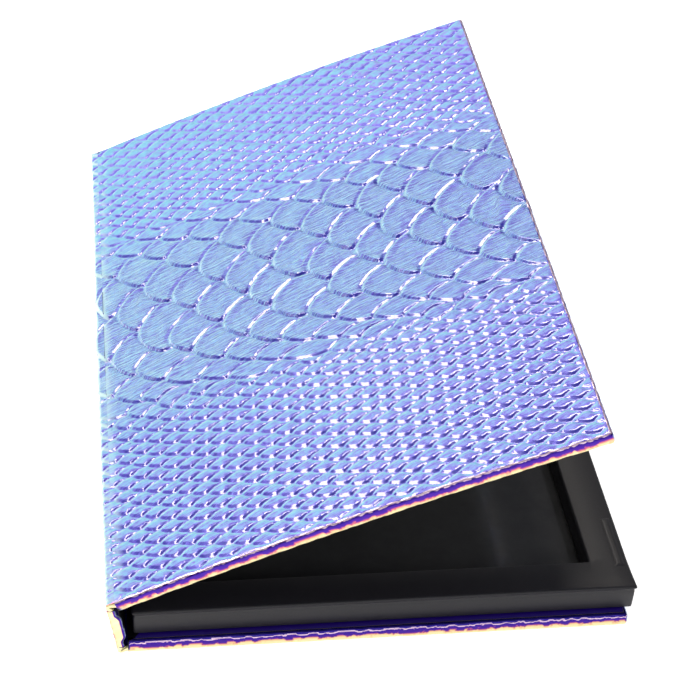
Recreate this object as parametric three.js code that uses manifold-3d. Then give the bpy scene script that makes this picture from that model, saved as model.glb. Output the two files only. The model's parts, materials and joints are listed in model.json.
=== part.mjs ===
// Magnetic makeup palette: a book-style case of three boards wrapped in embossed leather,
// with a shallow paper-wrapped tray glued to its base board.
// Millimetres, +Z up, +X from the spine to the fore-edge, +Y along the spine.
// The origin is the middle of the base's underside.
import * as THREE from 'three';
import { mergeVertices } from 'three/addons/utils/BufferGeometryUtils.js';
import Module from 'manifold-3d';

const wasm = await Module();
wasm.setup();

// Case: three boards in one leather wrapping
const caseLength = 200;
const panelWidth = 119.6;
const baseBoardThickness = 2.6;
const lidBoardThickness = 2.0;
const spineBoardThickness = 0.8;
const lidCrown = 1.3;
const leather = 0.5;
const liningPaper = 0.15;
const turnIn = 10;
const spineSideTurnIn = 1.5;
const liningInset = 3;
const glueLine = 0.1;

// Creases: the leather folds round a line beside each end of the spine
const creaseRadius = 0.85;
const creaseClearance = 0.3;
const spineClearance = 0.2;

// Pose at rest: the lid stands ajar on a spine that leans out
const spineLean = 9.8;
const lidLift = 21.6;

// Tray: three frames of greyboard in one paper wrapping
const frameBoardThickness = 2.0;
const frameLayers = 3;
const rimWidth = 9.4;
const wrapPaper = 0.3;
const wrapTurnIn = 4;
const traySpineMargin = 1.35;
const trayOverhang = 1.15;
const trayEndMargin = 2.3;
const hingeRise = 1.95;

// Floor of the tray
const magneticSheetThickness = 0.6;
const floorFilmThickness = 0.15;
const sheetClearance = 0.3;

// Closure: a bar magnet under the rim's paper and a steel keeper in the lid at each end
const magnetLength = 17;
const magnetWidth = 2.8;
const magnetThickness = 1.5;
const magnetRise = 0.3;
const magnetEndDistance = 7.3;
const keeperWidth = 3;
const keeperThickness = 1;
const pocketClearance = 0.2;

// Fineness of the solids
const crownSteps = 16;
const cornerSteps = 4;
const creaseSteps = 20;
const cornerRoundShare = 0.26;
const endRoundShare = 0.8;
const overrun = 1;

// Sizes that follow from the ones above
const wrapAndGlue = leather + glueLine;
const baseThickness = baseBoardThickness + 2 * wrapAndGlue;
const lidThickness = lidBoardThickness + 2 * wrapAndGlue;
const spineThickness = spineBoardThickness + 2 * wrapAndGlue;
const creaseToPanel = spineThickness + glueLine + liningPaper - creaseRadius + spineClearance;

const paperAndGlue = wrapPaper + glueLine;
const frameStack = frameLayers * frameBoardThickness + (frameLayers - 1) * glueLine;
const trayBottom = baseThickness + glueLine;
const frameBottom = trayBottom + paperAndGlue;
const frameTop = frameBottom + frameStack;
const trayTop = frameTop + paperAndGlue;
const tray = {
  left: -panelWidth / 2 + traySpineMargin,
  right: panelWidth / 2 + trayOverhang,
  end: caseLength / 2 - trayEndMargin,
};
const well = { left: tray.left + rimWidth, right: tray.right - rimWidth, end: tray.end - rimWidth };
const magnetPlace = tray.end - magnetEndDistance - magnetLength / 2;

const spineReach = trayTop + hingeRise + lidThickness - 2 * creaseRadius;
const spineWidth = spineReach - 2 * (creaseRadius + creaseClearance);

// A panel of the case, lying with its spine side at x = 0 and its underside at z = 0.
// The opening is what the turned-in leather leaves bare, on the side that faces the tray.
const basePanel = {
  width: panelWidth,
  board: baseBoardThickness,
  thickness: baseThickness,
  crown: 0,
  insideUp: true,
  opening: {
    left: well.left - sheetClearance + panelWidth / 2,
    right: well.right + sheetClearance + panelWidth / 2,
    end: well.end + sheetClearance,
  },
};
const lidPanel = {
  width: panelWidth,
  board: lidBoardThickness,
  thickness: lidThickness,
  crown: lidCrown,
  insideUp: false,
  opening: { left: turnIn, right: panelWidth - turnIn, end: caseLength / 2 - turnIn },
};
const spinePanel = {
  width: spineWidth,
  board: spineBoardThickness,
  thickness: spineThickness,
  crown: 0,
  insideUp: false,
  opening: { left: spineSideTurnIn, right: spineWidth - spineSideTurnIn, end: caseLength / 2 - turnIn },
};

// Solids for cutting and joining
function solidOf(geometry) {
  const plain = geometry.clone();
  plain.deleteAttribute('normal');
  plain.deleteAttribute('uv');
  const merged = mergeVertices(plain);
  return new wasm.Manifold(new wasm.Mesh({
    numProp: 3,
    vertProperties: new Float32Array(merged.attributes.position.array),
    triVerts: new Uint32Array(merged.index.array),
  }));
}

function geometryOf(solid) {
  const mesh = solid.getMesh();
  const geometry = new THREE.BufferGeometry();
  geometry.setAttribute('position', new THREE.BufferAttribute(mesh.vertProperties, mesh.numProp));
  geometry.setIndex(new THREE.BufferAttribute(mesh.triVerts, 1));
  geometry.computeVertexNormals();
  return geometry;
}

function cut(geometry, ...cutters) {
  return geometryOf(cutters.reduce((solid, cutter) => solid.subtract(solidOf(cutter)), solidOf(geometry)));
}

function join(geometry, ...others) {
  return geometryOf(others.reduce((solid, other) => solid.add(solidOf(other)), solidOf(geometry)));
}

// A box between two places on each axis
function block(left, right, near, far, bottom, top) {
  const geometry = new THREE.BoxGeometry(right - left, far - near, top - bottom);
  return geometry.translate((left + right) / 2, (near + far) / 2, (bottom + top) / 2);
}

// A profile in X and Z, drawn out along Y and centred on y = 0
function drawnOut(shape, length, endRound = 0) {
  const geometry = new THREE.ExtrudeGeometry(shape, {
    depth: length - 2 * endRound,
    bevelEnabled: endRound > 0,
    bevelThickness: endRound,
    bevelSize: endRound,
    bevelOffset: -endRound,
    bevelSegments: cornerSteps,
  });
  return geometry.rotateX(Math.PI / 2).translate(0, length / 2 - endRound, 0);
}

// How far a panel bows up at x, as a board does when its wrapping shrinks
function bow(panel, x) {
  const share = x / panel.width;
  return panel.crown * 4 * share * (1 - share);
}

// The outline of a slab that follows the panel's bow, with its four corners rounded
function bowedOutline(panel, left, right, bottom, top, round) {
  const corners = [
    { x: right - round, z: bottom + round, turn: -1 },
    { x: right - round, z: top - round, turn: 0 },
    { x: left + round, z: top - round, turn: 1 },
    { x: left + round, z: bottom + round, turn: 2 },
  ];
  const points = [];
  corners.forEach((corner, index) => {
    const steps = round > 0 ? cornerSteps : 0;
    for (let i = 0; i <= steps; i += 1) {
      const angle = (corner.turn + (steps ? i / steps : 0)) * Math.PI / 2;
      points.push([corner.x + round * Math.cos(angle), corner.z + round * Math.sin(angle)]);
    }
    const next = corners[(index + 1) % corners.length];
    if (next.x !== corner.x && panel.crown > 0) {
      const z = points[points.length - 1][1];
      for (let i = 1; i < crownSteps; i += 1) {
        points.push([corner.x + (next.x - corner.x) * i / crownSteps, z]);
      }
    }
  });
  return new THREE.Shape(points.map(([x, z]) => new THREE.Vector2(x, z + bow(panel, x))));
}

function bowedSlab(panel, left, right, bottom, top, length, round = 0) {
  return drawnOut(bowedOutline(panel, left, right, bottom, top, round), length, round * endRoundShare);
}

// Leather round a panel's board: the outer face, four edges and the turned-in margins
function coverOf(panel) {
  const { width, thickness, opening } = panel;
  const outer = bowedSlab(panel, 0, width, 0, thickness, caseLength, thickness * cornerRoundShare);
  const hollow = bowedSlab(panel, leather, width - leather, leather, thickness - leather, caseLength - 2 * leather);
  const mouthBottom = panel.insideUp ? thickness / 2 : -overrun;
  const mouthTop = panel.insideUp ? thickness + overrun : thickness / 2;
  const mouth = bowedSlab(panel, opening.left, opening.right, mouthBottom, mouthTop, 2 * opening.end);
  return cut(outer, hollow, mouth);
}

function boardOf(panel) {
  const bottom = wrapAndGlue;
  const top = panel.thickness - wrapAndGlue;
  return bowedSlab(panel, wrapAndGlue, panel.width - wrapAndGlue, bottom, top, caseLength - 2 * wrapAndGlue);
}

// Paper over the turned-in margins that dips onto the bare board between them
function liningOf(panel, inset) {
  const { opening } = panel;
  const face = -glueLine - liningPaper;
  const sheet = bowedSlab(panel, inset, panel.width - inset, face, -glueLine, caseLength - 2 * liningInset);
  const left = opening.left + glueLine;
  const right = opening.right - glueLine;
  const length = 2 * (opening.end - glueLine);
  const dip = bowedSlab(panel, left, right, face, leather, length);
  const inside = bowedSlab(panel, left + liningPaper, right - liningPaper,
    face - overrun, leather - liningPaper, length - 2 * liningPaper);
  return cut(join(sheet, dip), inside);
}

// A fold of leather round a crease line, open on the side that faces the tray
function creaseFold(openingAngle) {
  const inner = creaseRadius - leather;
  const halfMouth = Math.PI / 4;
  const from = openingAngle + halfMouth;
  const sweep = 2 * Math.PI - 2 * halfMouth;
  const points = [];
  for (let i = 0; i <= creaseSteps; i += 1) {
    const angle = from + sweep * i / creaseSteps;
    points.push(new THREE.Vector2(creaseRadius * Math.cos(angle), creaseRadius * Math.sin(angle)));
  }
  for (let i = creaseSteps; i >= 0; i -= 1) {
    const angle = from + sweep * i / creaseSteps;
    points.push(new THREE.Vector2(inner * Math.cos(angle), inner * Math.sin(angle)));
  }
  return drawnOut(new THREE.Shape(points), caseLength - 2 * leather);
}

// The steel keeper in the lid board
function keeperBar(side) {
  const right = panelWidth - wrapAndGlue - pocketClearance;
  const left = right - keeperWidth;
  const bottom = wrapAndGlue + bow(lidPanel, left);
  const middle = side * magnetPlace;
  return block(left, right, middle - magnetLength / 2, middle + magnetLength / 2, bottom, bottom + keeperThickness);
}

// The pocket in the board round a keeper, open towards the tray
function keeperPocket(side) {
  const right = panelWidth - wrapAndGlue;
  const left = right - keeperWidth - 2 * pocketClearance;
  const half = magnetLength / 2 + pocketClearance;
  const middle = side * magnetPlace;
  const top = wrapAndGlue + bow(lidPanel, left) + keeperThickness + glueLine;
  return block(left, right + overrun, middle - half, middle + half, -overrun, top);
}

// One frame of greyboard, open where the well is
function frameLayer(index) {
  const bottom = frameBottom + index * (frameBoardThickness + glueLine);
  const top = bottom + frameBoardThickness;
  const outside = block(tray.left + paperAndGlue, tray.right - paperAndGlue,
    -tray.end + paperAndGlue, tray.end - paperAndGlue, bottom, top);
  const inside = block(well.left - paperAndGlue, well.right + paperAndGlue,
    -well.end - paperAndGlue, well.end + paperAndGlue, bottom - overrun, top + overrun);
  const pockets = index === frameLayers - 1 ? [-1, 1].map((side) => magnetPocket(side)) : [];
  return cut(outside, inside, ...pockets);
}

function magnetBar(side) {
  const right = tray.right - paperAndGlue;
  const top = frameTop + magnetRise;
  const middle = side * magnetPlace;
  return block(right - magnetWidth, right, middle - magnetLength / 2, middle + magnetLength / 2,
    top - magnetThickness, top);
}

function magnetPocket(side) {
  const right = tray.right - paperAndGlue;
  const half = magnetLength / 2 + pocketClearance;
  const middle = side * magnetPlace;
  return block(right - magnetWidth - pocketClearance, right + overrun, middle - half, middle + half,
    frameTop + magnetRise - magnetThickness - glueLine, frameTop + overrun);
}

// The paper over the rim stands proud where a magnet lies under it
function magnetPad(side, paper) {
  const half = magnetLength / 2 + glueLine + paper;
  const middle = side * magnetPlace;
  const right = tray.right - wrapPaper + paper;
  const left = tray.right - paperAndGlue - magnetWidth - glueLine - paper;
  return block(left, right, middle - half, middle + half,
    trayTop - wrapPaper - glueLine, trayTop + magnetRise - wrapPaper + paper);
}

// Paper round the frames: the rim, both walls and a margin turned in underneath
function trayWrap() {
  const whole = block(tray.left, tray.right, -tray.end, tray.end, trayBottom, trayTop);
  const wellCut = block(well.left, well.right, -well.end, well.end, trayBottom - overrun, trayTop + overrun);
  const ringOf = (margin, wall, bottom, top) => cut(
    block(tray.left + margin, tray.right - margin, -tray.end + margin, tray.end - margin, bottom, top),
    block(well.left - wall, well.right + wall, -well.end - wall, well.end + wall, bottom - overrun, top + overrun),
  );
  const hollow = ringOf(wrapPaper, wrapPaper, trayBottom + wrapPaper, trayTop - wrapPaper);
  const slot = ringOf(wrapTurnIn, wrapPaper, trayBottom - overrun, trayBottom + 2 * wrapPaper);
  const padded = join(whole, ...[-1, 1].map((side) => magnetPad(side, wrapPaper)));
  return cut(padded, wellCut, hollow, slot, ...[-1, 1].map((side) => magnetPad(side, 0)));
}

// The sheet that holds the pans lies on the base board, under a gloss film
function wellSheet(bottom, thickness) {
  return block(well.left + sheetClearance, well.right - sheetClearance,
    -well.end + sheetClearance, well.end - sheetClearance, bottom, bottom + thickness);
}

// Finishes
function finish(colour, roughness, metalness = 0) {
  return { color: new THREE.Color(colour), roughness, metalness };
}

const embossedLeather = finish('#7f8ee6', 0.35, 0.3);
const spineLeather = finish('#6a54c8', 0.35, 0.3);
const greyboard = finish('#8f877b', 0.95);
const blackPaper = finish('#242326', 0.7);
const glossFilm = finish('#0d0d0e', 0.12);
const ferriteSheet = finish('#2c2a2a', 0.6);
const nickel = finish('#b9b6ae', 0.25, 1);
const steel = finish('#8d9094', 0.4, 1);

function piece(name, geometry, look) {
  const mesh = new THREE.Mesh(geometry, new THREE.MeshStandardMaterial(look));
  mesh.name = name;
  return mesh;
}

// The base: its panel, the lower crease, the tray and the floor
function baseGroup() {
  const panel = new THREE.Group();
  panel.position.x = -panelWidth / 2;
  panel.add(piece('base_cover', coverOf(basePanel), embossedLeather));
  panel.add(piece('base_board', boardOf(basePanel), greyboard));

  const crease = piece('lower_crease', creaseFold(Math.PI / 4), spineLeather);
  crease.position.set(-panelWidth / 2 - creaseToPanel, 0, creaseRadius);

  const group = new THREE.Group();
  group.add(panel, crease);
  for (let index = 0; index < frameLayers; index += 1) {
    group.add(piece(`tray_frame_${index + 1}`, frameLayer(index), greyboard));
  }
  group.add(piece('tray_wrap', trayWrap(), blackPaper));
  group.add(piece('closure_magnet_near', magnetBar(-1), nickel));
  group.add(piece('closure_magnet_far', magnetBar(1), nickel));

  const sheetBottom = baseThickness - leather;
  const filmBottom = sheetBottom + magneticSheetThickness + glueLine;
  group.add(piece('magnetic_sheet', wellSheet(sheetBottom, magneticSheetThickness), ferriteSheet));
  group.add(piece('floor_film', wellSheet(filmBottom, floorFilmThickness), glossFilm));
  return group;
}

// The spine stands on the lower crease and leans out at rest
function spineGroup() {
  const panel = new THREE.Group();
  panel.rotation.y = -Math.PI / 2;
  panel.position.set(spineThickness - creaseRadius, 0, creaseRadius + creaseClearance);
  panel.add(piece('spine_cover', coverOf(spinePanel), spineLeather));
  panel.add(piece('spine_board', boardOf(spinePanel), greyboard));
  panel.add(piece('spine_lining', liningOf(spinePanel, creaseClearance), blackPaper));

  const crease = piece('upper_crease', creaseFold(-Math.PI / 4), embossedLeather);
  crease.position.z = spineReach;

  const group = new THREE.Group();
  group.position.set(-panelWidth / 2 - creaseToPanel, 0, creaseRadius);
  group.rotation.y = -THREE.MathUtils.degToRad(spineLean);
  group.add(panel, crease);
  return group;
}

// The lid hangs on the upper crease, with its leather up and its lining down
function lidGroup() {
  const panel = new THREE.Group();
  panel.position.set(creaseToPanel, 0, creaseRadius - lidThickness);
  panel.add(piece('lid_cover', coverOf(lidPanel), embossedLeather));
  panel.add(piece('lid_board', cut(boardOf(lidPanel), keeperPocket(-1), keeperPocket(1)), greyboard));
  panel.add(piece('lid_lining', liningOf(lidPanel, liningInset), blackPaper));
  panel.add(piece('lid_keeper_near', keeperBar(-1), steel));
  panel.add(piece('lid_keeper_far', keeperBar(1), steel));

  const group = new THREE.Group();
  group.position.z = spineReach;
  group.rotation.y = -THREE.MathUtils.degToRad(lidLift - spineLean);
  group.add(panel);
  return group;
}

const palette = new THREE.Group();
const spine = spineGroup();
spine.add(lidGroup());
palette.add(baseGroup(), spine);

export default palette;
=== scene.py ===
# %% [markdown]
# # A magnetic makeup palette
# The palette is a book-style case. One skin of embossed leather with a pearl foil wraps three boards: the lid,
# the spine and the base. A shallow tray wrapped in black paper is glued to the base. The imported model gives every
# piece its place, and this script gives each surface its shape and finish. Lengths are in metres.

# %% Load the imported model
import json
import math

import bpy
import numpy as np
from mathutils import Matrix, Vector


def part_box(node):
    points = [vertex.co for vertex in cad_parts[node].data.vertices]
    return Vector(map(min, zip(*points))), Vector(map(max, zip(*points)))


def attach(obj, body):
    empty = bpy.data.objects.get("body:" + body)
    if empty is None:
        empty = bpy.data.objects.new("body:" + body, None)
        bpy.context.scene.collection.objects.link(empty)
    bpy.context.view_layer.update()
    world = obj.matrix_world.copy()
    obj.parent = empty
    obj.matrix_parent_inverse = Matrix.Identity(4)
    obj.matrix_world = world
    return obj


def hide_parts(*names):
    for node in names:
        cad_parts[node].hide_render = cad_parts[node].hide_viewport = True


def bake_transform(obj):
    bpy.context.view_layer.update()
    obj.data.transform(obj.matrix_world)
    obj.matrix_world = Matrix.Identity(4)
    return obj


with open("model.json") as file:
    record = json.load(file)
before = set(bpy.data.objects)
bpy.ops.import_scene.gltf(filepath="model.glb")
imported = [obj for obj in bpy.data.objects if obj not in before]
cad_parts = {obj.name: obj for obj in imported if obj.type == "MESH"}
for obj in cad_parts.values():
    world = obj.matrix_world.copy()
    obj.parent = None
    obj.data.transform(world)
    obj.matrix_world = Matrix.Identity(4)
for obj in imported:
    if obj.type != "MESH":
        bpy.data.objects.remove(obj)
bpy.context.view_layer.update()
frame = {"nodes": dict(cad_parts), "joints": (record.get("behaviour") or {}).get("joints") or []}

MM = 0.001
scene = bpy.context.scene
scene.view_settings.view_transform = "Standard"
print("pieces in the packed model:", len(frame["nodes"]))

# %% [markdown]
# The camera stands low in front of the palette's near end and a little to its left, with a long lens. Its turn is
# given by three angles: which way it looks, how far down it looks, and how far it is tilted.

# %% Camera
LENS_IN_PIXELS = 1935.94
PICTURE_PIXELS = 679
SENSOR_WIDTH = 36.0
CAMERA_PLACE = Vector((-0.0629, -0.42211, 0.329))
LOOK_ASIDE, LOOK_DOWN, TILT = (math.radians(angle) for angle in (8.64, 36.36, 3.07))

forward = Vector((math.sin(LOOK_ASIDE) * math.cos(LOOK_DOWN), math.cos(LOOK_ASIDE) * math.cos(LOOK_DOWN),
                  -math.sin(LOOK_DOWN)))
level = Vector((math.cos(LOOK_ASIDE), -math.sin(LOOK_ASIDE), 0))
upward = level.cross(forward)
right = level * math.cos(TILT) + upward * math.sin(TILT)
upward = upward * math.cos(TILT) - level * math.sin(TILT)

camera = bpy.data.objects.new("camera", bpy.data.cameras.new("camera"))
scene.collection.objects.link(camera)
camera.data.sensor_width = SENSOR_WIDTH
camera.data.lens = LENS_IN_PIXELS * SENSOR_WIDTH / PICTURE_PIXELS
camera.data.clip_end = 10
turn = Matrix((right, upward, -forward)).transposed().to_4x4()
camera.matrix_world = Matrix.Translation(CAMERA_PLACE) @ turn
scene.camera = camera
print("lens:", round(camera.data.lens, 2), "mm")

# %% [markdown]
# The palette lies on a white table under soft light. Foil and gloss film show what is around them, so the room is
# a plain pale dome that is darker near the horizon, and softboxes give the scales their glints.

# %% Colours and nodes
def srgb(code, alpha=1.0):
    """A hex colour as the linear values that a node takes."""
    channels = [int(code[i:i + 2], 16) / 255 for i in (1, 3, 5)]
    return [c / 12.92 if c <= 0.04045 else ((c + 0.055) / 1.055) ** 2.4 for c in channels] + [alpha]


def add(tree, kind, settings=None, **links):
    """Adds a node. Settings are its own values, and links are its inputs: a value, or another node's socket."""
    node = tree.nodes.new(kind)
    for key, value in (settings or {}).items():
        setattr(node, key, value)
    for key, value in links.items():
        name = key.replace("_", " ")
        socket = node.inputs[int(key[1:])] if key[0] == "i" and key[1:].isdigit() else node.inputs[name]
        if isinstance(value, bpy.types.NodeSocket):
            tree.links.new(value, socket)
        else:
            socket.default_value = value
    return node


def ramp(tree, factor, stops, mode="LINEAR"):
    """A colour ramp through (place, hex colour) stops."""
    node = add(tree, "ShaderNodeValToRGB", i0=factor)
    node.color_ramp.interpolation = mode
    while len(node.color_ramp.elements) < len(stops):
        node.color_ramp.elements.new(1)
    for element, (place, code) in zip(node.color_ramp.elements, stops):
        element.position = place
        element.color = srgb(code)
    return node.outputs["Color"]


def new_material(name):
    """An empty material, its tree and its Principled BSDF."""
    material = bpy.data.materials.new(name)
    material.use_nodes = True
    return material, material.node_tree, material.node_tree.nodes["Principled BSDF"]


# %% Floor, room and softboxes
FLOOR_SIZE = 4.0
DOME_HORIZON, DOME_MIDDLE, DOME_TOP = "#ffffff", "#75757b", "#a8a8b0"
DOME_STRENGTH = 0.52

bpy.ops.object.select_all(action="DESELECT")
bpy.ops.mesh.primitive_plane_add(size=FLOOR_SIZE, location=(0, 0, -0.1 * MM))
floor = bpy.context.object
floor.name = "floor"
paint, tree, shader = new_material("white_table")
shader.inputs["Base Color"].default_value = srgb("#f4f4f4")
shader.inputs["Roughness"].default_value = 0.9
light_path = add(tree, "ShaderNodeLightPath")
seen = add(tree, "ShaderNodeMath", {"operation": "MAXIMUM"},
           i0=light_path.outputs["Is Camera Ray"], i1=light_path.outputs["Is Glossy Ray"])
seen = add(tree, "ShaderNodeMath", {"operation": "MAXIMUM"},
           i0=seen.outputs[0], i1=light_path.outputs["Is Transmission Ray"])
glow = add(tree, "ShaderNodeMath", {"operation": "MULTIPLY"}, i0=seen.outputs[0], i1=0.75)
shader.inputs["Emission Color"].default_value = srgb("#ffffff")
tree.links.new(glow.outputs[0], shader.inputs["Emission Strength"])
floor.data.materials.append(paint)

world = bpy.data.worlds.new("studio")
scene.world = world
world.use_nodes = True
direction = add(world.node_tree, "ShaderNodeTexCoord").outputs["Generated"]
height = add(world.node_tree, "ShaderNodeSeparateXYZ", i0=direction).outputs["Z"]
dome = ramp(world.node_tree, height, [(0.10, DOME_HORIZON), (0.35, DOME_MIDDLE), (0.9, DOME_TOP)])
background = world.node_tree.nodes["Background"]
world.node_tree.links.new(dome, background.inputs["Color"])
background.inputs["Strength"].default_value = DOME_STRENGTH


def softbox(name, place, size, watts, tint="#ffffff", aim=(0, 0, 0.02)):
    """A rectangular area light that faces the palette."""
    light = bpy.data.objects.new(name, bpy.data.lights.new(name, "AREA"))
    scene.collection.objects.link(light)
    light.data.shape = "RECTANGLE"
    light.data.size, light.data.size_y = size
    light.data.energy = watts
    light.data.color = srgb(tint)[:3]
    light.location = place
    light.rotation_mode = "QUATERNION"
    light.rotation_quaternion = (Vector(aim) - Vector(place)).to_track_quat("-Z", "Y")
    return light


softbox("high_back_box", (-0.08, 0.48, 0.88), (0.50, 0.20), 4.9, "#fff8ee")
softbox("high_left_box", (-0.60, 0.20, 0.78), (0.72, 0.16), 5.0, "#fff6e8")
softbox("back_box", (-0.36, 0.90, 0.60), (1.0, 0.5), 0.8)
softbox("left_box", (-1.1, -0.1, 0.30), (0.6, 0.4), 1.6)
softbox("front_fill", (0.1, -1.0, 0.60), (0.9, 0.4), 2.3)

# %% [markdown]
# The case hinges on two creases. Each one is a line that the leather folds round at the same radius, so the joints
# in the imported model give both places. The spine leans out between them, and the lid stands open on the upper one.

# %% Sizes of the case
LEATHER = 0.5 * MM
LID_LIFT = math.radians(21.6)
LID_CROWN = 1.3 * MM
CREASE_GAP = 0.3 * MM

joints = {joint["name"]: Vector(joint["pos_m"]) for joint in frame["joints"]}
low_pivot, high_pivot = joints["base_crease"], joints["lid_crease"]
CREASE_RADIUS = low_pivot.z
spine_way = high_pivot - low_pivot
SPINE_LEAN = math.atan2(-spine_way.x, spine_way.z)

base_low, base_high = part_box("base_cover")
PANEL_WIDTH = base_high.x - base_low.x
CASE_LENGTH = base_high.y - base_low.y
BASE_THICKNESS = base_high.z - base_low.z
TO_PANEL = base_low.x - low_pivot.x
TO_SPINE = CREASE_RADIUS + CREASE_GAP


def turned(pivot, angle):
    """The place of a panel that is turned up by an angle on a crease."""
    return Matrix.Translation(pivot) @ Matrix.Rotation(-angle, 4, "Y")


def own_box(node, place):
    """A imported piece's lowest and highest corner in its panel's own frame."""
    back = place.inverted()
    points = np.array([back @ vertex.co for vertex in frame["nodes"][node].data.vertices])
    return Vector(points.min(0)), Vector(points.max(0))


lid_place = turned(high_pivot, LID_LIFT)
spine_place = turned(low_pivot, SPINE_LEAN)
lid_low, lid_high = own_box("lid_cover", lid_place)
LID_THICKNESS = lid_high.z - lid_low.z - LID_CROWN
spine_low, spine_high = own_box("spine_cover", spine_place)
SPINE_THICKNESS = spine_high.x - spine_low.x
SPINE_WIDTH = spine_high.z - spine_low.z
print("panels:", [round(size / MM, 2) for size in (PANEL_WIDTH, CASE_LENGTH, BASE_THICKNESS, LID_THICKNESS,
                                                   SPINE_WIDTH, SPINE_THICKNESS, TO_PANEL)])

# %% [markdown]
# The leather is embossed like snakeskin. Small scales cover both ends and large ones cross the middle. Each scale is
# a rounded plate whose free, beaded edge points to the spine, and it lies on the plates to its left like a roof
# tile. A sculpted or painted relief would take long to draw, and a noise texture has no such order, so the relief is
# worked out: the plates are laid one by one from the spine outwards, and each one covers what lies under it.

# %% The rows of scales
SMALL_PITCH, LARGE_PITCH = 8.3 * MM, 16.4 * MM
NEAR_STEP, FAR_STEP, LARGE_STEP = 2.15 * MM, 2.75 * MM, 9.9 * MM
PITCH_BAND = np.array([48, 82, 120, 156]) * MM
STEP_BAND = np.array([54, 98, 112, 154]) * MM
TIGHTEST, WIDEST = 0.70, 1.55
FIELD_LOW = np.array([-152, -12]) * MM
FIELD_HIGH = np.array([132, 212]) * MM
CELL = 0.2 * MM


def smooth(low, high, value):
    """Goes from 0 at low to 1 at high with soft ends."""
    share = np.clip((value - low) / (high - low), 0, 1)
    return share * share * (3 - 2 * share)


def band(v, limits):
    """How far a place along the palette is into the band of large scales."""
    return smooth(limits[0], limits[1], v) * (1 - smooth(limits[2], limits[3], v))


def row_step(v):
    small = NEAR_STEP + (FAR_STEP - NEAR_STEP) * np.clip(v / CASE_LENGTH, 0, 1)
    return small + (LARGE_STEP - small) * band(v, STEP_BAND)


def scale_pitch(u, v):
    large = band(v, PITCH_BAND)
    narrow = 1 - 0.2 * (1 - smooth(10 * MM, 55 * MM, np.abs(u))) * large
    return (SMALL_PITCH + (LARGE_PITCH - SMALL_PITCH) * large) * narrow


def next_row(row, v, chance):
    """Each scale sits in a gap of the row before. Where they get too tight two become one, and a wide gap gets one."""
    row = (row[1:] + row[:-1]) / 2
    while True:
        ratio = np.diff(row) / scale_pitch((row[1:] + row[:-1]) / 2, v)
        tight, wide = ratio.argmin(), ratio.argmax()
        if ratio[tight] < TIGHTEST + chance.uniform(0, 0.1):
            row = np.concatenate([row[:tight], [(row[tight] + row[tight + 1]) / 2], row[tight + 2:]])
        elif ratio[wide] > WIDEST:
            row = np.insert(row, wide + 1, (row[wide] + row[wide + 1]) / 2)
        else:
            break
    for _ in range(3):
        row[1:-1] += 0.3 * ((row[2:] + row[:-2]) / 2 - row[1:-1])
    while row[0] > FIELD_LOW[0]:
        row = np.insert(row, 0, row[0] - scale_pitch(row[0], v))
    while row[-1] < FIELD_HIGH[0]:
        row = np.append(row, row[-1] + scale_pitch(row[-1], v))
    return row


def scale_rows():
    """Every scale as its place and half its size: across, along, half width, half height."""
    chance = np.random.default_rng(5)
    v = FIELD_LOW[1]
    row = np.arange(FIELD_LOW[0], FIELD_HIGH[0], SMALL_PITCH)
    scales = []
    while v < FIELD_HIGH[1]:
        step = row_step(v)
        row = next_row(row, v, chance)
        half = np.gradient(row) / 2
        stray = (0.05 + 0.13 * band(v, STEP_BAND)) * chance.uniform(-1, 1, (3, len(row)))
        for u, wide, (aside, along, taller) in zip(row, half, stray.T):
            scales.append((u + aside * wide, v + along * step, wide * 1.02, step * (1.04 + 0.5 * taller)))
        v += (step + row_step(v + step)) / 2
    return sorted(scales)


scales = scale_rows()
print("scales:", len(scales))

# %% The relief of the scales
SCALE_HEIGHT = (0.34 * MM, 0.50 * MM)
BEAD_HEIGHT = (0.08 * MM, 0.33 * MM)
RIM_WIDTH = (0.7 * MM, 0.95 * MM)
NEAR_RIM_WIDTH = (0.95 * MM, 0.6 * MM)
BEAD_FALL = (0.8 * MM, 1.3 * MM)
SHOULDER_WIDTH = (0.5 * MM, 1.0 * MM)
NEAR_SHOULDER_WIDTH = (0.5 * MM, 0.8 * MM)
OUTLINE_POWER = 1.5
ROOT_FALL = 0.4
DOME_HEIGHT = 0.14 * MM
FAR_FLATNESS = 0.15


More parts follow.
